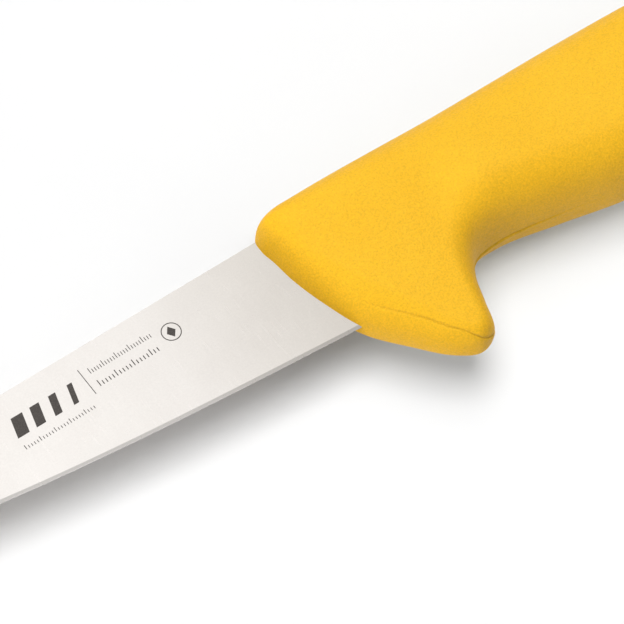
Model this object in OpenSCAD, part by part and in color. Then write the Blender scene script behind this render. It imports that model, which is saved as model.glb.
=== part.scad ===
// Boning knife with a moulded handle that has a deep finger guard.
// It lies on its side: the blade points to -X, the spine faces +Y, the cutting edge
// faces -Y, and the flat side land of the handle rests on z = 0.

/* [Blade] */
// Length of the blade from the handle to the point, along the spine
blade_length = 130; // [100:1:160]
// Height of the blade at the heel, from the spine to the cutting edge
heel_height = 24.5; // [20:0.5:30]
// Thickness of the steel at the spine next to the handle, and of the tang
spine_thickness = 2.0; // [1.6:0.1:3]
// Thickness of the steel at the spine next to the point
point_thickness = 1.0; // [0.8:0.1:1.5]
// Width of the sharpened strip along the cutting edge
bevel_width = 0.6; // [0.4:0.1:2]
// Thickness left between the ground faces where the sharpened strip begins
bevel_thickness = 0.45; // [0.3:0.05:0.8]

/* [Tang] */
// Distance from the end of the tang to the end of the butt
tang_gap = 39; // [32:1:55]
// Core left above and below the tang where the tang is highest
tang_cover = 0.45; // [0.3:0.05:1.5]
// How much lower the tang is at its far end than at its front
tang_narrowing = 5; // [2:0.25:6]
// Steel left above and below a locking hole at the far end of the tang
lock_edge = 2; // [1.5:0.1:2.5]

/* [Handle] */
// Length of the handle from its front to the butt
handle_length = 135; // [125:1:160]
// Thickness of the handle between its two side lands
handle_thickness = 22; // [20:0.5:28]
// Height of the neck behind the finger guard
neck_height = 24.3; // [23:0.2:30]
// Height of the grip where the palm sits
palm_height = 29.8; // [28:0.2:34]
// Height of the waist in front of the butt
waist_height = 26; // [25:0.2:30]
// Height of the handle from its back to the tip of the finger guard
guard_height = 42.4; // [36:0.2:48]
// Height of the handle from its back to the lowest point of the butt
butt_height = 35; // [32:0.2:40]
// How much each side of the handle draws in from its land to its front
front_taper = 2.5; // [1:0.1:4]
// How much further each side falls away at the very front of the handle
nose_drop = 2.2; // [0:0.1:3]
// Thickness of the finger guard along its rim
guard_thickness = 7.4; // [6:0.2:12]

/* [Core] */
// Thickness of the grip over each side of the core
side_skin = 5.5; // [3:0.25:6]
// Thickness of the grip over the core at the neck
neck_skin = 4.2; // [3:0.1:6]
// How far the core carries on past the end of the tang
core_overrun = 8; // [4:0.5:14]
// How far each rib stands proud of the core
rib_rise = 0.9; // [0.5:0.1:1.4]
// Width of each rib along the handle
rib_width = 3; // [2:0.5:5]

/* [Hanging hole] */
// Diameter of the hole through the butt
hang_hole_d = 8; // [6:0.5:10]
// Distance of the hole from the end of the butt
hang_hole_inset = 12; // [10:0.5:16]
// Distance of the hole from the lowest point of the butt
hang_hole_rise = 14; // [11:0.5:18]

/* [Hidden] */

// Blade, in its own plane: x along the spine, y up to the spine, z across the steel.
heel_x = 5.2;
shoulder_x = 9;
blade_steps = 36;
edge_rise = 0.40;
edge_sweep = 0.56;
edge_power = 3.25;
spine_drop = 0.9;
drop_start = 0.75;
edge_half = 0.06;

function station(i) = let (u = i / blade_steps) 1 - pow(1 - u, 1.6);
function edge_at(u) = -heel_height * (1 - edge_rise * u - edge_sweep * pow(u, edge_power));
function spine_at(u) = -spine_drop * pow(max(0, u - drop_start) / (1 - drop_start), 2);
function half_at(u) = (spine_thickness + (point_thickness - spine_thickness) * u) / 2;
function bevel_at(u) = edge_at(u) + min(bevel_width, 0.4 * (spine_at(u) - edge_at(u)));
function section(x, u) = let (s = spine_at(u), b = bevel_at(u), e = edge_at(u), h = half_at(u),
    k = min(bevel_thickness / 2, h * 0.8))
    [[x, s, h], [x, b, k], [x, e, edge_half], [x, e, -edge_half], [x, b, -k], [x, s, -h]];

// Handle outline in the mid-plane, as keys of [x, y, rim depth].
// The upper keys run along the back, the lower keys along the underside; each upper
// key is joined to the lower key with the same number, and the two ends are shared.
back_y = 2.3;
ref_length = 135;
function hx(x) = x <= 40 ? x : 40 + (x - 40) * (handle_length - 40) / (ref_length - 40);
neck_y = back_y - 1.0 - neck_height;
palm_y = back_y - 0.9 - palm_height;
waist_y = back_y - 2.2 - waist_height;
guard_y = back_y - guard_height;
butt_y = back_y - butt_height;
heel_y = -heel_height;
function guard_drop(f) = heel_y + (guard_y - heel_y) * f;

front_key = [1.05, -10.2, 2.6];
butt_key = [handle_length, -18.5, 7.5];
upper_keys = [
    [0.4, -5.2, 2.2],
    [-0.1, -2.5, 1.9],
    [0.25, 0.2, 1.7],
    [2.6, 1.6, 2.8],
    [7.6, 2.05, 4.6],
    [13.0, back_y, 6.8],
    [18.0, 2.25, 7.4],
    [23.0, 2.15, 8.4],
    [29.0, 2.0, 9.0],
    [37.0, 1.8, 9.4],
    [hx(48), 1.75, 9.5],
    [hx(64), 1.7, 9.5],
    [hx(80), 1.3, 9.5],
    [hx(97), 0.3, 9.2],
    [hx(111), -1.2, 8.8],
    [hx(121), -3.4, 8.2],
    [hx(128.5), -7.0, 7.6],
    [hx(133.4), -12.4, 7.4]
];
lower_keys = [
    [2.8, -17.0, 4.6],
    [5.8, heel_y - 0.5, 6.4],
    [10.9, guard_drop(0.475), 5.2],
    [15.8, guard_drop(0.84), 3.6],
    [20.2, guard_y, 2.8],
    [23.7, guard_drop(0.91), 2.5],
    [25.4, guard_drop(0.60), 2.8],
    [27.2, guard_drop(0.25), 4.0],
    [30.5, neck_y - 1.0, 6.6],
    [36.5, neck_y, 9.0],
    [hx(48), neck_y + (palm_y - neck_y) * 0.42, 9.4],
    [hx(64), palm_y, 9.5],
    [hx(81), palm_y + (waist_y - palm_y) * 0.45, 9.4],
    [hx(97), waist_y, 9.0],
    [hx(110), waist_y + (butt_y - waist_y) * 0.35, 8.5],
    [hx(120), butt_y, 7.8],
    [hx(128), butt_y + 1.0, 7.2],
    [hx(133.6), butt_y + 7.2, 7.2]
];
flip = [for (i = [len(lower_keys) - 1:-1:0]) lower_keys[i]];
keys = concat([front_key], upper_keys, [butt_key], flip);
key_count = len(keys);
key_steps = 5;
ring_count = key_count * key_steps;
half_count = ring_count / 2;
rim_steps = 6;
cap_steps = 6;
rim_power = 2.2;

// Smooth curve through the keys, even round the tight guard.
function gap(p, q) = pow(norm([q.x - p.x, q.y - p.y]), 0.5);
function slope(p, q, r) = let (a = gap(p, q), b = gap(q, r)) (q - p) / a - (r - p) / (a + b) + (r - q) / b;
function curve(p, q, r, s, t) = let (g = gap(q, r), m = slope(p, q, r) * g, n = slope(q, r, s) * g)
    (2 * t * t * t - 3 * t * t + 1) * q + (t * t * t - 2 * t * t + t) * m
    + (3 * t * t - 2 * t * t * t) * r + (t * t * t - t * t) * n;
function key(i) = keys[(i + key_count) % key_count];
rim = [for (i = [0:key_count - 1]) for (k = [0:key_steps - 1])
    curve(key(i - 1), key(i), key(i + 1), key(i + 2), k / key_steps)];
function inward(i) = let (a = rim[(i + ring_count - 1) % ring_count], b = rim[(i + 1) % ring_count],
    d = [b.x - a.x, b.y - a.y] / norm([b.x - a.x, b.y - a.y])) [d.y, -d.x];

// Half thickness over the side of the handle: flat land, tapered front, thin guard.
land_x = 30;
nose_x = 7;
guard_top = -5;
function ease(t) = let (c = min(1, max(0, t))) c * c * (3 - 2 * c);
function body_half(x) = let (t = min(1, max(0, x / land_x)), n = min(1, max(0, x / nose_x)))
    handle_thickness / 2 - front_taper * pow(1 - t, 1.8) - nose_drop * pow(1 - n, 2);
function guard_part(x, y) = let (t = min(1, max(0, (guard_top - y) / (guard_top - guard_y))))
    pow(t, 1.1) * (1 - ease((x - 26) / 12));
function half_thick(x, y) = let (b = body_half(x)) b - (b - guard_thickness / 2) * guard_part(x, y);

// Points of one rim layer, from the mid-plane (k = 0) to the cap (k = rim_steps).
function rim_point(i, k, side) = let (a = 90 * k / rim_steps, p = rim[i],
    q = [p.x, p.y] + inward(i) * p.z * (1 - pow(cos(a), 2 / rim_power)))
    [q.x, q.y, side * half_thick(q.x, q.y) * pow(sin(a), 2 / rim_power)];
function cap_point(i, k, side) = let (j = (ring_count - i) % ring_count, a = rim_point(i, rim_steps, side),
    b = rim_point(j, rim_steps, side), t = k / cap_steps, q = a + (b - a) * t)
    [q.x, q.y, side * half_thick(q.x, q.y)];

rim_layers = [for (k = [-rim_steps:rim_steps]) for (i = [0:ring_count - 1])
    rim_point(i, abs(k), k < 0 ? -1 : 1)];
rim_total = len(rim_layers);
cap_rows = half_count - 1;
cap_inner = cap_steps - 1;
cap_points = [for (s = [-1, 1]) for (i = [1:cap_rows]) for (k = [1:cap_inner]) cap_point(i, k, s)];
// Index of a point on a cap: row i runs from the back (k = 0) to the underside.
function cap_index(i, k, top) =
    i == 0 || i == half_count || k == 0 ? (top ? 2 * rim_steps : 0) * ring_count + i
    : k == cap_steps ? (top ? 2 * rim_steps : 0) * ring_count + ring_count - i
    : rim_total + (top ? cap_rows * cap_inner : 0) + (i - 1) * cap_inner + k - 1;
function turned(f, over) = over ? [f[2], f[1], f[0]] : f;
rim_faces = [for (k = [0:2 * rim_steps - 1]) for (i = [0:ring_count - 1])
    let (j = (i + 1) % ring_count, a = k * ring_count + i, b = k * ring_count + j)
    each [[a, a + ring_count, b + ring_count], [a, b + ring_count, b]]];
cap_faces = [for (top = [false, true]) for (i = [0:half_count - 1]) for (k = [0:cap_steps - 1])
    let (a = cap_index(i, k, top), b = cap_index(i + 1, k, top),
        c = cap_index(i + 1, k + 1, top), d = cap_index(i, k + 1, top))
    each concat(i == half_count - 1 ? [] : [turned([a, c, b], !top)],
        i == 0 ? [] : [turned([a, d, c], !top)])];

module handle_shape() {
    polyhedron(points = concat(rim_layers, cap_points), faces = concat(rim_faces, cap_faces));
}

module blade_body() {
    stations = concat([[shoulder_x, 0]], [for (i = [0:blade_steps]) let (u = station(i))
        [heel_x - u * (heel_x + blade_length), u]]);
    count = len(stations);
    points = [for (s = stations) each section(s[0], s[1])];
    sides = [for (i = [0:count - 2]) for (k = [0:5])
        let (j = (k + 1) % 6, a = 6 * i + k, b = 6 * i + j)
        each [[a, b + 6, a + 6], [a, b, b + 6]]];
    last = 6 * (count - 1);
    ends = [[0, 5, 1], [1, 5, 4], [1, 4, 2], [2, 4, 3],
        [last, last + 1, last + 5], [last + 1, last + 4, last + 5],
        [last + 1, last + 2, last + 4], [last + 2, last + 3, last + 4]];
    polyhedron(points = points, faces = concat(sides, ends));
}

// Tang: it carries on from the shoulder inside the handle, centred in the neck, and its
// height follows the core that is moulded round it.
core_height = neck_height - 2 * neck_skin;
tang_y = neck_y + neck_height / 2;
tang_start = shoulder_x - 1;
tang_end = handle_length - tang_gap;
tang_front_height = core_height - 2 * tang_cover;
tang_back_height = tang_front_height - tang_narrowing;
lock_hole_d = tang_back_height - 2 * lock_edge;
lock_count = 3;
lock_margin = 17;
lock_pitch = (tang_end - tang_start - 2 * lock_margin) / (lock_count - 1);
lock_x = [for (i = [0:lock_count - 1]) tang_start + lock_margin + i * lock_pitch];
module tang_plate() {
    end_x = tang_end - tang_back_height / 2;
    linear_extrude(height = spine_thickness, center = true)
        difference() {
            union() {
                polygon([
                    [tang_start, tang_y - tang_front_height / 2],
                    [end_x, tang_y - tang_back_height / 2],
                    [end_x, tang_y + tang_back_height / 2],
                    [tang_start, tang_y + tang_front_height / 2]
                ]);
                translate([end_x, tang_y]) circle(d = tang_back_height);
            }
            for (x = lock_x) translate([x, tang_y]) circle(d = lock_hole_d);
        }
}

module blade_solid() {
    union() {
        blade_body();
        tang_plate();
    }
}

// Core moulded round the tang: a flat bar with a round end, and ribs that the grip locks on.
core_start = shoulder_x + 3;
core_end = tang_end + core_overrun;
core_thickness = handle_thickness - 2 * side_skin;
core_round_x = core_end - core_height / 2;
rib_height = core_height + 2 * rib_rise;
rib_thickness = core_thickness + 2 * rib_rise;
rib_count = 4;
rib_margin = 8;
rib_pitch = (core_round_x - core_start - 2 * rib_margin) / (rib_count - 1);
module core_solid() {
    union() {
        translate([core_start, tang_y - core_height / 2, -core_thickness / 2])
            cube([core_round_x - core_start, core_height, core_thickness]);
        translate([core_round_x, tang_y, -core_thickness / 2])
            cylinder(h = core_thickness, d = core_height);
        for (i = [0:rib_count - 1])
            translate([core_start + rib_margin + i * rib_pitch, tang_y, 0])
                cube([rib_width, rib_height, rib_thickness], center = true);
    }
}

hang_x = handle_length - hang_hole_inset;
hang_y = butt_y + hang_hole_rise;

// The origin is at the middle of the whole knife's box, on the plane that it lies on.
mid_x = (max([for (p = rim) p.x]) - blade_length) / 2;
mid_y = (max([for (p = rim) p.y]) + min([for (p = rim) p.y])) / 2;
module placed() {
    translate([-mid_x, -mid_y, handle_thickness / 2]) children();
}

module blade() {
    color([0.86, 0.86, 0.85]) placed() blade_solid();
}

module handle_core() {
    color([0.93, 0.86, 0.62])
        placed()
            difference() {
                core_solid();
                tang_plate();
            }
}

module handle_grip() {
    color([0.98, 0.77, 0.20])
        placed()
            difference() {
                handle_shape();
                core_solid();
                blade_solid();
                translate([hang_x, hang_y, -handle_thickness])
                    cylinder(h = 2 * handle_thickness, d = hang_hole_d);
            }
}

blade();
handle_core();
handle_grip();
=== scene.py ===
"""Looks of the boning knife: ground steel blade, moulded yellow grip, generic etched mark,
pale floor, soft light and a long-lens camera."""

import math

import bmesh
import bpy
import numpy as np
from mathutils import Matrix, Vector


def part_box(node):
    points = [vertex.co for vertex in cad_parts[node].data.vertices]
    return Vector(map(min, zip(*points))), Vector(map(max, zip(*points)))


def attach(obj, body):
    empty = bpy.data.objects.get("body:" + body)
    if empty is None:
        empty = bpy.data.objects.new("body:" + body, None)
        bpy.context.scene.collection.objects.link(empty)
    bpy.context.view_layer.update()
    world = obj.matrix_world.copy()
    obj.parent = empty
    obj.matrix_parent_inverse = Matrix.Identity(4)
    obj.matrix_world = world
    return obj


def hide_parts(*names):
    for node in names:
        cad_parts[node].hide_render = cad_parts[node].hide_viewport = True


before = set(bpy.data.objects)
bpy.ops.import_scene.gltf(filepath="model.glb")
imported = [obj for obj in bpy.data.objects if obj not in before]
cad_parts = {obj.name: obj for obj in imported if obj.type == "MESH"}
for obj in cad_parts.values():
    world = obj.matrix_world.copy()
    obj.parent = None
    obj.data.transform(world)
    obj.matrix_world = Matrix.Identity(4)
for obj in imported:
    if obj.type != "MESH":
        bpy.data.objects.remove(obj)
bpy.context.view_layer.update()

MM = 0.001

# The knife's own frame, in millimetres: x = 0 where the spine enters the handle, y = 0 on the
# spine, z = 0 in the mid-plane of the blade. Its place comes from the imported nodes.
blade_low, blade_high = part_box("blade")
grip_low, grip_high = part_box("handle_grip")
BLADE_LENGTH = 130.0
HANDLE_THICKNESS = (grip_high[2] - grip_low[2]) / MM
ORIGIN = np.array([
    blade_low[0] + BLADE_LENGTH * MM,
    blade_high[1],
    (grip_low[2] + grip_high[2]) / 2,
])
HANDLE_LENGTH = (grip_high[0] - ORIGIN[0]) / MM


def to_world(points):
    """Millimetres in the knife's frame to metres in the frame of the CAD."""
    return np.asarray(points, float) * MM + ORIGIN


# ---------------------------------------------------------------- mesh helpers

def mesh_object(name, points, faces, smooth=True):
    mesh = bpy.data.meshes.new(name)
    mesh.from_pydata([tuple(p) for p in to_world(points)], [], faces)
    mesh.update()
    mesh.shade_smooth() if smooth else mesh.shade_flat()
    piece = bpy.data.objects.new(name, mesh)
    bpy.context.scene.collection.objects.link(piece)
    return piece


def mark_sharp(piece, angle_deg):
    """Keep edges sharper than the angle crisp under smooth shading."""
    mesh = piece.data
    bm = bmesh.new()
    bm.from_mesh(mesh)
    limit = math.radians(angle_deg)
    for edge in bm.edges:
        if len(edge.link_faces) == 2:
            edge.smooth = edge.calc_face_angle(0.0) < limit
        else:
            edge.smooth = False
    bm.to_mesh(mesh)
    bm.free()


def ease(t):
    t = np.clip(t, 0.0, 1.0)
    return t * t * (3 - 2 * t)


# ---------------------------------------------------------------- handle

# Finer steps and a slightly squarer roll than the CAD's.
RIM_POWER = 2.35
RIM_SPREAD = 1.1
RING_SOFTNESS = 6
KEY_STEPS = 12
CAP_STEPS = 22

# The same sizes as the CAD's, in millimetres.
LAND_X = 30.0
FRONT_TAPER = 2.5
NOSE_X = 7.0
NOSE_DROP = 2.2
GUARD_HALF = 3.7
GUARD_TOP = -5.0
GUARD_END_X = 26.0
GUARD_BLEND = 12.0
HEEL_Y = -24.5
BACK_Y = 2.3
NECK_HEIGHT = 24.3
NECK_Y = BACK_Y - 1.0 - NECK_HEIGHT
PALM_Y = BACK_Y - 0.9 - 29.8
WAIST_Y = BACK_Y - 2.2 - 26.0
BUTT_Y = BACK_Y - 35.0
GUARD_TIP_Y = BACK_Y - 42.4


def down(f):
    """Height between the heel and the tip of the guard."""
    return HEEL_Y + (GUARD_TIP_Y - HEEL_Y) * f


# Mid-plane outline, as keys of [x, y, rim depth]: the upper keys run along the back, the
# lower keys along the guard and the underside, and the front and butt keys join them.
UPPER_KEYS = [
    [0.4, -5.2, 2.2],
    [-0.1, -2.5, 1.9],
    [0.25, 0.2, 1.7],
    [2.6, 1.6, 2.8],
    [7.6, 2.05, 4.6],
    [13.0, BACK_Y, 6.8],
    [18.0, 2.25, 7.4],
    [23.0, 2.15, 8.4],
    [29.0, 2.0, 9.0],
    [37.0, 1.8, 9.4],
    [48.0, 1.75, 9.5],
    [64.0, 1.7, 9.5],
    [80.0, 1.3, 9.5],
    [97.0, 0.3, 9.2],
    [111.0, -1.2, 8.8],
    [121.0, -3.4, 8.2],
    [128.5, -7.0, 7.6],
    [133.4, -12.4, 7.4],
]
LOWER_KEYS = [
    [2.8, -17.0, 4.6],
    [5.8, HEEL_Y - 0.5, 6.4],
    [10.9, down(0.475), 5.2],
    [15.8, down(0.84), 3.6],
    [20.2, GUARD_TIP_Y, 2.8],
    [23.7, down(0.91), 2.5],
    [25.4, down(0.60), 2.8],
    [27.2, down(0.25), 4.0],
    [30.5, NECK_Y - 1.0, 6.6],
    [36.5, NECK_Y, 9.0],
    [48.0, NECK_Y + (PALM_Y - NECK_Y) * 0.42, 9.4],
    [64.0, PALM_Y, 9.5],
    [81.0, PALM_Y + (WAIST_Y - PALM_Y) * 0.45, 9.4],
    [97.0, WAIST_Y, 9.0],
    [110.0, WAIST_Y + (BUTT_Y - WAIST_Y) * 0.35, 8.5],
    [120.0, BUTT_Y, 7.8],
    [128.0, BUTT_Y + 1.0, 7.2],
    [133.6, BUTT_Y + 7.2, 7.2],
]
FRONT_KEY = [1.05, -10.2, 2.6]
BUTT_KEY = [HANDLE_LENGTH, -18.5, 7.5]


def smooth_ring(keys, steps):
    """Closed curve through the keys, with the gaps between them evened out."""
    keys = np.array(keys, float)
    count = len(keys)
    out = []
    for i in range(count):
        p, q, r, s = keys[i - 1], keys[i], keys[(i + 1) % count], keys[(i + 2) % count]
        before = np.linalg.norm((q - p)[:2]) ** 0.5
        here = np.linalg.norm((r - q)[:2]) ** 0.5
        after = np.linalg.norm((s - r)[:2]) ** 0.5
        m = ((q - p) / before - (r - p) / (before + here) + (r - q) / here) * here
        n = ((r - q) / here - (s - q) / (here + after) + (s - r) / after) * here
        for k in range(steps):
            t = k / steps
            out.append((2 * t**3 - 3 * t**2 + 1) * q + (t**3 - 2 * t**2 + t) * m
                       + (3 * t**2 - 2 * t**3) * r + (t**3 - t**2) * n)
    return np.array(out)


def half_thick(x, y):
    """Half thickness of the handle: flat side land, tapered front, thin guard."""
    body = HANDLE_THICKNESS / 2 - FRONT_TAPER * (1 - np.clip(x / LAND_X, 0, 1)) ** 1.8
    body = body - NOSE_DROP * (1 - np.clip(x / NOSE_X, 0, 1)) ** 2
    toward = np.clip((GUARD_TOP - y) / (GUARD_TOP - GUARD_TIP_Y), 0, 1) ** 1.1
    return body - (body - GUARD_HALF) * toward * (1 - ease((x - GUARD_END_X) / GUARD_BLEND))


def even_out(values, width):
    """Soften values along the closed ring by a bell of the given width, in ring points."""
    reach = int(3 * width)
    bell = np.exp(-0.5 * (np.arange(-reach, reach + 1) / width) ** 2)
    return sum(weight * np.roll(values, shift, 0)
               for weight, shift in zip(bell / bell.sum(), range(-reach, reach + 1)))


def rim_surface(ring, inset, angle):
    """Points of the rolled rim at the given angles, one per ring point; angle 0 is mid-plane."""
    share = 1 - np.abs(np.cos(angle)) ** (2 / RIM_POWER)
    x = ring[:, 0] + inset[:, 0] * share
    y = ring[:, 1] + inset[:, 1] * share
    z = half_thick(x, y) * np.sign(angle) * np.abs(np.sin(angle)) ** (2 / RIM_POWER)
    return np.stack([x, y, z], 1)


# The mould's parting line along the guard and the grip's underside, in ring order, as
# [x, y, height above the mid-plane, strength of the groove, strength of the lip].
PARTING = [
    [50.0, -25.8, 0.0, 0.0, 0.0],
    [46.0, -25.0, -0.5, 0.3, 0.3],
    [41.5, -23.8, -1.5, 0.8, 0.8],
    [36.5, -23.0, -2.6, 1.0, 1.0],
    [31.0, -24.0, -2.2, 1.0, 1.0],
    [28.0, -27.0, -1.6, 0.8, 0.7],
    [25.4, -33.9, -0.9, 0.6, 0.4],
    [23.7, -38.7, 0.0, 0.8, 0.2],
    [21.5, -40.0, 1.5, 1.0, 0.4],
    [20.0, -40.1, 3.0, 1.0, 0.5],
    [18.2, -39.4, 3.9, 1.0, 0.6],
    [15.8, -37.6, 4.35, 1.0, 0.6],
    [12.5, -33.5, 4.75, 1.0, 0.5],
    [9.5, -30.0, 5.0, 1.0, 0.4],
    [7.2, -27.0, 5.05, 0.8, 0.2],
    [5.8, -25.0, 5.1, 0.4, 0.0],
]
# Rim layers beside the parting line: distance from it in mm, with the depth of the groove
# and the height of the lip there.
SEAM_LAYERS = [
    (-1.8, 0.0, 0.0),
    (-1.2, 0.0, 0.07),
    (-0.75, 0.0, 0.15),
    (-0.45, 0.0, 0.20),
    (-0.28, 0.03, 0.20),
    (-0.15, 0.16, 0.12),
    (0.0, 0.32, 0.0),
    (0.15, 0.16, 0.0),
    (0.28, 0.03, 0.0),
    (0.45, 0.0, 0.0),
]
SEAM_SOFTNESS = 5
SEAM_MARGIN = 0.4
SEAM_PASSES = 3
SEAM_PROBE = 0.04
NORMAL_PROBE = 0.03
RIM_STEPS = 20


def seam_along(ring):
    """Height, groove and lip of the parting line at each ring point; nothing past its ends."""
    count = len(ring)
    line = np.array(PARTING)
    gaps = np.linalg.norm(ring[:, None, :2] - line[None, :, :2], axis=2)
    gaps[: count // 2] = np.inf
    places = gaps.argmin(0)
    here = np.arange(count)
    return [even_out(np.interp(here, places, line[:, k], left=0.0,
                               right=line[-1, k] if k == 2 else 0.0), SEAM_SOFTNESS)
            for k in (2, 3, 4)]


def build_grip():
    keys = [FRONT_KEY] + UPPER_KEYS + [BUTT_KEY] + LOWER_KEYS[::-1]
    ring = smooth_ring(keys, KEY_STEPS)
    count = len(ring)
    half = count // 2
    step = np.roll(ring, -1, 0)[:, :2] - np.roll(ring, 1, 0)[:, :2]
    step /= np.linalg.norm(step, axis=1)[:, None]
    inward = np.stack([step[:, 1], -step[:, 0]], 1)
    inner_ring = even_out(ring[:, :2] + inward * ring[:, 2:3] * RIM_SPREAD, RING_SOFTNESS)
    inset = inner_ring - ring[:, :2]

    height, strength, lip = seam_along(ring)
    quarter = math.pi / 2
    seam = np.zeros(count)
    for _ in range(SEAM_PASSES):
        tops = half_thick(*(rim_surface(ring, inset, seam)[:, :2].T))
        level = np.clip(height / tops, -0.9, 0.9)
        seam = np.sign(level) * np.arcsin(np.abs(level) ** (RIM_POWER / 2))
    span = (rim_surface(ring, inset, seam + SEAM_PROBE)
            - rim_surface(ring, inset, seam - SEAM_PROBE))
    per_mm = even_out(2 * SEAM_PROBE / np.linalg.norm(span, axis=1), SEAM_SOFTNESS)
    offsets = [layer[0] for layer in SEAM_LAYERS]
    low = np.maximum(seam + (offsets[0] - SEAM_MARGIN) * per_mm, -quarter + 0.1)
    high = np.minimum(seam + (offsets[-1] + SEAM_MARGIN) * per_mm, quarter - 0.1)

    layers = [(-quarter + (low + quarter) * k / RIM_STEPS, 0.0, 0.0) for k in range(RIM_STEPS)]
    layers += [(np.clip(seam + offset * per_mm, low, high), groove, rise)
               for offset, groove, rise in SEAM_LAYERS]
    layers += [(high + (quarter - high) * k / RIM_STEPS, 0.0, 0.0)
               for k in range(RIM_STEPS + 1)]

    rows = []
    for angle, groove, rise in layers:
        spot = rim_surface(ring, inset, angle)
        if groove or rise:
            ahead = rim_surface(ring, inset, angle + NORMAL_PROBE)
            behind = rim_surface(ring, inset, angle - NORMAL_PROBE)
            normal = np.cross(ahead - behind, np.roll(spot, -1, 0) - np.roll(spot, 1, 0))
            normal /= np.linalg.norm(normal, axis=1)[:, None]
            facing = (normal[:, :2] * inward).sum(1)
            normal *= np.where(facing > 0, -1.0, 1.0)[:, None]
            spot = spot + normal * (rise * lip - groove * strength)[:, None]
        rows.append(spot)
    rim_rows = len(rows)
    points = np.concatenate(rows)

    faces = []
    for k in range(rim_rows - 1):
        for i in range(count):
            j = (i + 1) % count
            a, b = k * count + i, k * count + j
            faces.append((a, b, b + count, a + count))

    # Side faces: strips between each back point and the underside point across from it.
    cap_start = len(points)
    caps = []
    for side, row in ((-1.0, rows[0]), (1.0, rows[-1])):
        for i in range(1, half):
            a, b = row[i], row[(count - i) % count]
            for k in range(1, CAP_STEPS):
                spot = a + (b - a) * k / CAP_STEPS
                caps.append([spot[0], spot[1], side * half_thick(spot[0], spot[1])])
    points = np.concatenate([points, np.array(caps)])
    inner = CAP_STEPS - 1

    def cap_index(i, k, top):
        base = (rim_rows - 1) * count if top else 0
        if i in (0, half) or k == 0:
            return base + i
        if k == CAP_STEPS:
            return base + count - i
        return cap_start + ((half - 1) * inner if top else 0) + (i - 1) * inner + k - 1

    for top in (False, True):
        for i in range(half):
            for k in range(CAP_STEPS):
                corners = [cap_index(i, k, top), cap_index(i + 1, k, top),
                           cap_index(i + 1, k + 1, top), cap_index(i, k + 1, top)]
                unique = list(dict.fromkeys(corners))
                if len(unique) >= 3:
                    faces.append(tuple(unique if not top else unique[::-1]))

    # The softened ring may stand a hair outside the faceted solid, so it is held to its box.
    low_corner = (np.array(grip_low) - ORIGIN) / MM
    high_corner = (np.array(grip_high) - ORIGIN) / MM
    points = np.clip(points, low_corner, high_corner)
    grip = mesh_object("grip_shell", points, faces)
    bm = bmesh.new()
    bm.from_mesh(grip.data)
    bmesh.ops.recalc_face_normals(bm, faces=bm.faces)
    bm.to_mesh(grip.data)
    bm.free()
    return grip


HOLE_RADIUS = 4.0
HOLE_LIP = 0.9
HOLE_SIDES = 72
HOLE_INSET = 12.0
HOLE_RISE = 14.0


def cut_hole(grip):
    """Hanging hole with a rounded lip at each mouth."""
    centre_x = HANDLE_LENGTH - HOLE_INSET
    centre_y = BUTT_Y + HOLE_RISE
    flat = HANDLE_THICKNESS / 2
    turns = [math.radians(a) for a in range(0, 91, 10)]
    mouth = [(HOLE_RADIUS + HOLE_LIP * (1 - math.cos(a)),
              flat - HOLE_LIP + HOLE_LIP * math.sin(a)) for a in turns]
    clear = HOLE_RADIUS + HOLE_LIP + 0.6
    wall = mouth + [(clear, flat + 0.02), (clear, flat + 3)]
    profile = [(r, -z) for r, z in wall[::-1]] + wall
    points = [[centre_x + r * math.cos(2 * math.pi * i / HOLE_SIDES),
               centre_y + r * math.sin(2 * math.pi * i / HOLE_SIDES), z]
              for r, z in profile for i in range(HOLE_SIDES)]
    faces = []
    for k in range(len(profile) - 1):
        for i in range(HOLE_SIDES):
            j = (i + 1) % HOLE_SIDES
            faces.append((k * HOLE_SIDES + i, k * HOLE_SIDES + j,
                          (k + 1) * HOLE_SIDES + j, (k + 1) * HOLE_SIDES + i))
    faces.append(tuple(range(HOLE_SIDES))[::-1])
    faces.append(tuple(range((len(profile) - 1) * HOLE_SIDES, len(profile) * HOLE_SIDES)))
    cutter = mesh_object("hole_cutter", points, faces)
    modifier = grip.modifiers.new("hole", "BOOLEAN")
    modifier.operation = "DIFFERENCE"
    modifier.solver = "EXACT"
    modifier.object = cutter
    result = bpy.data.meshes.new_from_object(
        grip.evaluated_get(bpy.context.evaluated_depsgraph_get()))
    grip.modifiers.remove(modifier)
    grip.data = result
    bpy.data.objects.remove(cutter)
    result.shade_smooth()


# ---------------------------------------------------------------- blade

HEEL_X = 5.2
SHOULDER_X = 9.0
BLADE_STEPS = 150
SPINE_HALF = 1.0
POINT_HALF = 0.5
BEVEL_WIDTH = 0.6
BEVEL_HALF = 0.225
EDGE_HALF = 0.04
SPINE_ROUND = 0.14
CREASE_ANGLE = 5


def edge_at(u):
    return HEEL_Y * (1 - 0.40 * u - 0.56 * u ** 3.25)


def spine_at(u):
    return -0.9 * (max(0.0, u - 0.75) / 0.25) ** 2


def half_at(u):
    return SPINE_HALF + (POINT_HALF - SPINE_HALF) * u


def bevel_at(u):
    return edge_at(u) + min(BEVEL_WIDTH, 0.4 * (spine_at(u) - edge_at(u)))


def along(x):
    """How far along the blade x lies: 0 at the heel, 1 at the point."""
    return min(1.0, max(0.0, (HEEL_X - x) / (HEEL_X + BLADE_LENGTH)))


def face_height(x, y):
    """Height of the ground face above the mid-plane."""
    u = along(x)
    spine, bevel = spine_at(u), bevel_at(u)
    t = (spine - y) / (spine - bevel)
    half = half_at(u)
    return half + (min(BEVEL_HALF, half * 0.8) - half) * min(1.0, max(0.0, t))


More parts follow.
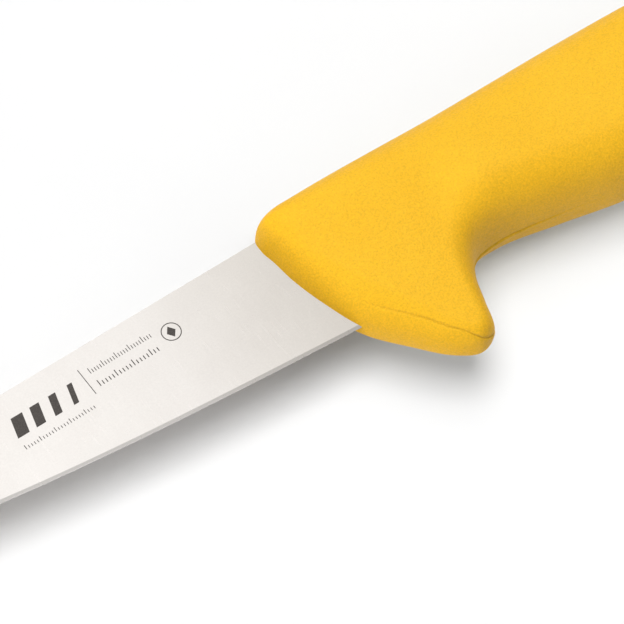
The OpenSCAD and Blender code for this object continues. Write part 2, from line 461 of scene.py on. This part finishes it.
def build_blade():
    places = [(SHOULDER_X, 0.0)]
    for i in range(BLADE_STEPS + 1):
        u = 1 - (1 - i / BLADE_STEPS) ** 1.6
        places.append((HEEL_X - u * (HEEL_X + BLADE_LENGTH), u))
    points = []
    for x, u in places:
        half = half_at(u)
        spine, bevel, edge = spine_at(u), bevel_at(u), edge_at(u)
        rounding = min(SPINE_ROUND, half * 0.3, (spine - edge) * 0.2)
        top = [(spine, half - rounding), (spine - 0.3 * rounding, half - 0.3 * rounding),
               (spine - rounding, half), (bevel, min(BEVEL_HALF, half * 0.8)), (edge, EDGE_HALF)]
        section = top + [(y, -z) for y, z in top[::-1]]
        points += [[x, y, z] for y, z in section]
    size = len(section)
    faces = []
    for i in range(len(places) - 1):
        for k in range(size):
            j = (k + 1) % size
            a, b = i * size + k, i * size + j
            faces.append((a, a + size, b + size, b))
    faces.append(tuple(range(size)))
    last = (len(places) - 1) * size
    faces.append(tuple(range(last + size - 1, last - 1, -1)))
    blade = mesh_object("blade_ground", points, faces)
    mark_sharp(blade, CREASE_ANGLE)
    return blade


TANG_Y = NECK_Y + NECK_HEIGHT / 2
TANG_START = SHOULDER_X - 1
TANG_END = HANDLE_LENGTH - 39.0
TANG_FRONT = 15.0
TANG_BACK = 10.0
LOCK_RADIUS = 3.0
LOCK_MARGIN = 17.0
LOCK_COUNT = 3


def build_tang():
    """Hidden tang: a plate with a round end and three locking holes."""
    end_x = TANG_END - TANG_BACK / 2
    turn = [math.radians(a) for a in range(-90, 91, 6)]
    outline = [[TANG_START, TANG_Y - TANG_FRONT / 2]]
    outline += [[end_x + TANG_BACK / 2 * math.cos(a), TANG_Y + TANG_BACK / 2 * math.sin(a)]
                for a in turn]
    outline += [[TANG_START, TANG_Y + TANG_FRONT / 2]]
    pitch = (TANG_END - TANG_START - 2 * LOCK_MARGIN) / (LOCK_COUNT - 1)
    bm = bmesh.new()
    loops = [outline]
    around = [math.radians(a) for a in range(0, 360, 10)]
    for i in range(LOCK_COUNT):
        x = TANG_START + LOCK_MARGIN + i * pitch
        loops.append([[x + LOCK_RADIUS * math.cos(a), TANG_Y + LOCK_RADIUS * math.sin(a)]
                      for a in around])
    edges = []
    for loop in loops:
        verts = [bm.verts.new(to_world([p[0], p[1], -SPINE_HALF])) for p in loop]
        edges += [bm.edges.new((verts[i], verts[(i + 1) % len(verts)]))
                  for i in range(len(verts))]
    bmesh.ops.triangle_fill(bm, use_beauty=True, edges=edges)
    grown = bmesh.ops.extrude_face_region(bm, geom=bm.faces[:])
    moved = [v for v in grown["geom"] if isinstance(v, bmesh.types.BMVert)]
    bmesh.ops.translate(bm, verts=moved, vec=(0, 0, 2 * SPINE_HALF * MM))
    bmesh.ops.recalc_face_normals(bm, faces=bm.faces)
    mesh = bpy.data.meshes.new("tang_plate")
    bm.to_mesh(mesh)
    bm.free()
    piece = bpy.data.objects.new("tang_plate", mesh)
    bpy.context.scene.collection.objects.link(piece)
    return piece


# ---------------------------------------------------------------- etched mark

MARK_LIFT = 0.012
BADGE_X = -22.2
BADGE_Y = -6.5


def box_shape(x0, y0, x1, y1, lean=0.0):
    return [(x0, y0), (x1, y0), (x1 + lean, y1), (x0 + lean, y1)]


def ring_shapes(cx, cy, inner, outer, sides=48):
    out = []
    for i in range(sides):
        a, b = 2 * math.pi * i / sides, 2 * math.pi * (i + 1) / sides
        out.append([(cx + outer * math.cos(a), cy + outer * math.sin(a)),
                    (cx + outer * math.cos(b), cy + outer * math.sin(b)),
                    (cx + inner * math.cos(b), cy + inner * math.sin(b)),
                    (cx + inner * math.cos(a), cy + inner * math.sin(a))])
    return out


def tick_row(x0, x1, base, height, pitch, width):
    """A plain row of ticks, with taller ones at every fifth."""
    out = []
    number = int((x1 - x0) / pitch)
    for i in range(number + 1):
        x = x0 + i * pitch
        tall = height if i % 5 == 0 else height * 0.62
        out.append(box_shape(x, base, x + width, base + tall))
    return out


def build_mark():
    shapes = ring_shapes(BADGE_X, BADGE_Y, 1.66, 1.84)
    shapes += [[(BADGE_X, BADGE_Y + 1.2), (BADGE_X - 0.9, BADGE_Y),
                (BADGE_X, BADGE_Y - 1.2), (BADGE_X + 0.9, BADGE_Y)]]
    shapes += [box_shape(-40.0, -9.3, -39.86, -3.6)]
    shapes += tick_row(-38.4, -25.2, -5.5, 1.25, 0.55, 0.14)
    shapes += tick_row(-38.4, -26.0, -8.5, 1.35, 0.72, 0.18)
    for i in range(4):
        left = -56.0 + i * 3.9
        shapes.append(box_shape(left, -9.0, left + 2.4 - 0.45 * i, -5.0, 1.1))
    shapes += tick_row(-56.0, -41.6, -11.6, 0.95, 0.62, 0.14)
    points, faces = [], []
    for shape in shapes:
        start = len(points)
        points += [[x, y, face_height(x, y) + MARK_LIFT] for x, y in shape]
        faces.append(tuple(range(start, start + len(shape))))
    return mesh_object("etched_mark", points, faces, smooth=False)


# ---------------------------------------------------------------- materials

def node_material(name):
    material = bpy.data.materials.new(name)
    material.use_nodes = True
    tree = material.node_tree
    shader = tree.nodes["Principled BSDF"]
    return material, tree, shader


def add(tree, kind, **settings):
    node = tree.nodes.new(kind)
    for key, value in settings.items():
        setattr(node, key, value)
    return node


def position(tree, scale=(1, 1, 1)):
    """Object coordinates, scaled; objects sit at the origin, so they are metres in the frame."""
    coords = add(tree, "ShaderNodeTexCoord")
    mapping = add(tree, "ShaderNodeMapping")
    mapping.inputs["Scale"].default_value = scale
    tree.links.new(coords.outputs["Object"], mapping.inputs["Vector"])
    return mapping.outputs["Vector"]


def noise(tree, vector, scale, detail=2.0, roughness=0.5):
    node = add(tree, "ShaderNodeTexNoise")
    node.inputs["Scale"].default_value = scale
    node.inputs["Detail"].default_value = detail
    node.inputs["Roughness"].default_value = roughness
    tree.links.new(vector, node.inputs["Vector"])
    return node.outputs["Fac"]


def ramp(tree, value, low, high, dark, light):
    node = add(tree, "ShaderNodeValToRGB")
    node.color_ramp.elements[0].position = low
    node.color_ramp.elements[0].color = (*dark, 1)
    node.color_ramp.elements[1].position = high
    node.color_ramp.elements[1].color = (*light, 1)
    tree.links.new(value, node.inputs["Fac"])
    return node.outputs["Color"]


def spread(tree, value, low, high):
    """Map a 0-1 value to a range of numbers."""
    node = add(tree, "ShaderNodeMapRange")
    node.inputs["From Min"].default_value = 0.25
    node.inputs["From Max"].default_value = 0.75
    node.inputs["To Min"].default_value = low
    node.inputs["To Max"].default_value = high
    tree.links.new(value, node.inputs["Value"])
    return node.outputs["Result"]


def times(tree, colour, factor):
    node = add(tree, "ShaderNodeMix", data_type="RGBA", blend_type="MULTIPLY")
    node.inputs["Factor"].default_value = 1.0
    tree.links.new(colour, node.inputs["A"])
    tree.links.new(factor, node.inputs["B"])
    return node.outputs["Result"]


def bump(tree, value, strength, distance, below=None):
    node = add(tree, "ShaderNodeBump")
    node.inputs["Strength"].default_value = strength
    node.inputs["Distance"].default_value = distance
    tree.links.new(value, node.inputs["Height"])
    if below is not None:
        tree.links.new(below, node.inputs["Normal"])
    return node.outputs["Normal"]


def grained_plastic():
    """Yellow polypropylene with the fine pebbled grain of a spark-eroded mould."""
    material, tree, shader = node_material("yellow_grained_plastic")
    here = position(tree)
    fine = noise(tree, here, 2900, detail=2.5, roughness=0.6)
    coarse = noise(tree, here, 1100, detail=2.0, roughness=0.5)
    cloud = noise(tree, here, 60, detail=3.0, roughness=0.6)
    tint = ramp(tree, cloud, 0.35, 0.65, (0.855, 0.462, 0.0100), (0.880, 0.482, 0.0125))
    speckle = spread(tree, fine, 0.82, 1.10)
    tree.links.new(times(tree, tint, speckle), shader.inputs["Base Color"])
    tree.links.new(spread(tree, coarse, 0.48, 0.66), shader.inputs["Roughness"])
    low = bump(tree, coarse, 0.5, 0.00016)
    tree.links.new(bump(tree, fine, 0.9, 0.00012, low), shader.inputs["Normal"])
    shader.inputs["Specular IOR Level"].default_value = 0.28
    shader.inputs["IOR"].default_value = 1.49
    return material


def ground_steel():
    """Stainless steel with fine grinding lines across the blade; toward the heel the colour is
    darker and warmer from painted shade and a painted reflection of the grip.
    """
    material, tree, shader = node_material("ground_steel")
    here = position(tree)
    lines = noise(tree, position(tree, (4200, 240, 240)), 1.0, detail=3.0, roughness=0.6)
    cloud = noise(tree, here, 45, detail=3.0, roughness=0.55)
    speck = noise(tree, here, 3200, detail=2.0, roughness=0.6)
    tint = ramp(tree, cloud, 0.3, 0.7, (0.841, 0.809, 0.781), (0.883, 0.853, 0.825))
    apart = add(tree, "ShaderNodeSeparateXYZ")
    coords = add(tree, "ShaderNodeTexCoord")
    tree.links.new(coords.outputs["Object"], apart.inputs["Vector"])
    # Painted shade with a warm painted reflection of the grip: the steel's colour darkens and
    # warms toward the heel, beside the handle.
    heel = add(tree, "ShaderNodeMapRange")
    heel.inputs["From Min"].default_value = ORIGIN[0] - 60 * MM
    heel.inputs["From Max"].default_value = ORIGIN[0] + 4 * MM
    tree.links.new(apart.outputs["X"], heel.inputs["Value"])
    heel_painted_shade = ramp(tree, heel.outputs["Result"], 0.0, 1.0, (1.0, 1.0, 1.0), (0.750, 0.735, 0.705))
    middle = heel_painted_shade.node.color_ramp.elements.new(0.53)
    middle.color = (0.950, 0.948, 0.945, 1)
    shaded_tint = times(tree, tint, heel_painted_shade)
    speckled = times(tree, shaded_tint, spread(tree, speck, 0.965, 1.03))
    tree.links.new(speckled, shader.inputs["Base Color"])
    tree.links.new(spread(tree, lines, 0.26, 0.36), shader.inputs["Roughness"])
    tree.links.new(bump(tree, lines, 0.12, 0.00003), shader.inputs["Normal"])
    shader.inputs["Metallic"].default_value = 1.0
    return material


def core_plastic():
    """Pale plastic of the hidden core."""
    material, tree, shader = node_material("pale_core_plastic")
    here = position(tree)
    cloud = noise(tree, here, 90, detail=3.0)
    tree.links.new(ramp(tree, cloud, 0.3, 0.7, (0.80, 0.68, 0.38), (0.86, 0.74, 0.43)),
                   shader.inputs["Base Color"])
    tree.links.new(spread(tree, cloud, 0.45, 0.6), shader.inputs["Roughness"])
    tree.links.new(bump(tree, noise(tree, here, 1500), 0.2, 0.00005), shader.inputs["Normal"])
    return material


def etch_black():
    """Dark electro-etched mark, slightly mottled."""
    material, tree, shader = node_material("etched_dark")
    grain = noise(tree, position(tree), 4000, detail=2.0)
    tree.links.new(ramp(tree, grain, 0.3, 0.7, (0.035, 0.030, 0.027), (0.075, 0.066, 0.060)),
                   shader.inputs["Base Color"])
    tree.links.new(spread(tree, grain, 0.5, 0.7), shader.inputs["Roughness"])
    return material


def floor_white():
    material, tree, shader = node_material("pale_floor")
    grain = noise(tree, position(tree), 30, detail=2.0)
    tree.links.new(ramp(tree, grain, 0.3, 0.7, (0.955, 0.955, 0.955), (0.965, 0.965, 0.965)),
                   shader.inputs["Base Color"])
    shader.inputs["Roughness"].default_value = 0.9
    shader.inputs["Specular IOR Level"].default_value = 0.1
    return material


def dress(piece, material):
    piece.data.materials.clear()
    piece.data.materials.append(material)


# ---------------------------------------------------------------- pieces

plastic = grained_plastic()
steel = ground_steel()

grip = build_grip()
cut_hole(grip)
dress(grip, plastic)
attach(grip, "root")
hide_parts("handle_grip")
# No yellow cast from the grip on the floor or the steel, as in the photograph.
grip.visible_diffuse = False
grip.visible_glossy = False

blade = build_blade()
dress(blade, steel)
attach(blade, "root")
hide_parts("blade")

tang = build_tang()
dress(tang, steel)
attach(tang, "root")

mark = build_mark()
dress(mark, etch_black())
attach(mark, "root")

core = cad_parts["handle_core"]
core.data.materials.clear()
core.data.materials.append(core_plastic())


# ---------------------------------------------------------------- stage, light and camera

def build_floor():
    """Wide pale floor under the knife, as stage."""
    half = 3.0
    steps = 24
    line = np.linspace(-half, half, steps + 1)
    points = [(x, y, 0.0) for y in line for x in line]
    row = steps + 1
    faces = [(j * row + i, j * row + i + 1, (j + 1) * row + i + 1, (j + 1) * row + i)
             for j in range(steps) for i in range(steps)]
    mesh = bpy.data.meshes.new("studio_floor")
    mesh.from_pydata(points, [], faces)
    floor = bpy.data.objects.new("studio_floor", mesh)
    bpy.context.scene.collection.objects.link(floor)
    mesh.materials.append(floor_white())
    return floor


ELEVATION = math.radians(58.0)
AHEAD = Vector((0.578, 0.816, 0.0)).normalized()
LOOK = AHEAD * math.cos(ELEVATION) - Vector((0, 0, math.sin(ELEVATION)))
TARGET = Vector(to_world([0.27, -16.97, 0.0]))
DISTANCE = 1.6
VIEW_WIDTH = 0.1083
SENSOR = 36.0
SKY_DIM = 0.55
SKY_BRIGHT = 1.17


def build_camera():
    data = bpy.data.cameras.new("camera")
    data.sensor_width = SENSOR
    data.lens = SENSOR * DISTANCE / VIEW_WIDTH
    data.clip_start = 0.05
    data.clip_end = 50.0
    camera = bpy.data.objects.new("camera", data)
    camera.location = TARGET - LOOK * DISTANCE
    camera.rotation_euler = LOOK.to_track_quat("-Z", "Y").to_euler()
    bpy.context.scene.collection.objects.link(camera)
    bpy.context.scene.camera = camera


def area_light(name, spot, size, power):
    data = bpy.data.lights.new(name, "AREA")
    data.shape = "DISK"
    data.size = size
    data.energy = power
    lamp = bpy.data.objects.new(name, data)
    lamp.location = spot
    lamp.rotation_euler = (-Vector(spot)).to_track_quat("-Z", "Y").to_euler()
    lamp.visible_glossy = False
    bpy.context.scene.collection.objects.link(lamp)
    return lamp


def studio_sky():
    """Soft boxes as the steel mirrors them: bright beyond the knife, darker overhead."""
    world = bpy.data.worlds.new("studio")
    bpy.context.scene.world = world
    world.use_nodes = True
    tree = world.node_tree
    sky = tree.nodes["Background"]
    coords = add(tree, "ShaderNodeTexCoord")
    tilt = add(tree, "ShaderNodeVectorMath", operation="DOT_PRODUCT")
    tilt.inputs[1].default_value = AHEAD * 0.75 + Vector((0, 0, 0.66))
    tree.links.new(coords.outputs["Generated"], tilt.inputs[0])
    glow = add(tree, "ShaderNodeMapRange")
    glow.interpolation_type = "SMOOTHSTEP"
    glow.inputs["From Min"].default_value = 0.55
    glow.inputs["From Max"].default_value = 0.93
    glow.inputs["To Min"].default_value = SKY_DIM
    glow.inputs["To Max"].default_value = SKY_BRIGHT
    tree.links.new(tilt.outputs["Value"], glow.inputs["Value"])
    tree.links.new(glow.outputs["Result"], sky.inputs["Strength"])
    sky.inputs["Color"].default_value = (1.0, 0.995, 0.985, 1)
    world.cycles_visibility.diffuse = False


def only_on(name, pieces, lamps):
    """Let the lamps light only the given pieces."""
    lit = bpy.data.collections.new(name)
    for piece in pieces:
        lit.objects.link(piece)
    for lamp in lamps:
        lamp.light_linking.receiver_collection = lit


def build_light():
    """Lamps for the matt surfaces; the steel mirrors the sky alone."""
    studio_sky()
    beyond = AHEAD * 0.75
    area_light("beyond", (beyond.x, beyond.y, 1.35), 1.1, 5.0)
    area_light("overhead", (0.0, 0.0, 1.6), 1.5, 21.2)
    area_light("blade_side_fill", (-1.35, -0.15, 0.62), 1.1, 6.5)
    only_on("grip_only", [grip], [
        area_light("grip_fill", (-1.3, 0.0, 0.5), 0.8, 6.3),
        area_light("grip_key", (beyond.x, beyond.y, 1.35), 1.1, 4.2),
    ])
    only_on("floor_and_steel", [floor, blade, tang, mark, core], [
        area_light("near_fill", (0.95, -0.95, 0.62), 1.1, 5.5),
    ])


floor = build_floor()
build_camera()
build_light()
bpy.context.scene.view_settings.view_transform = "Standard"

bpy.context.view_layer.update()
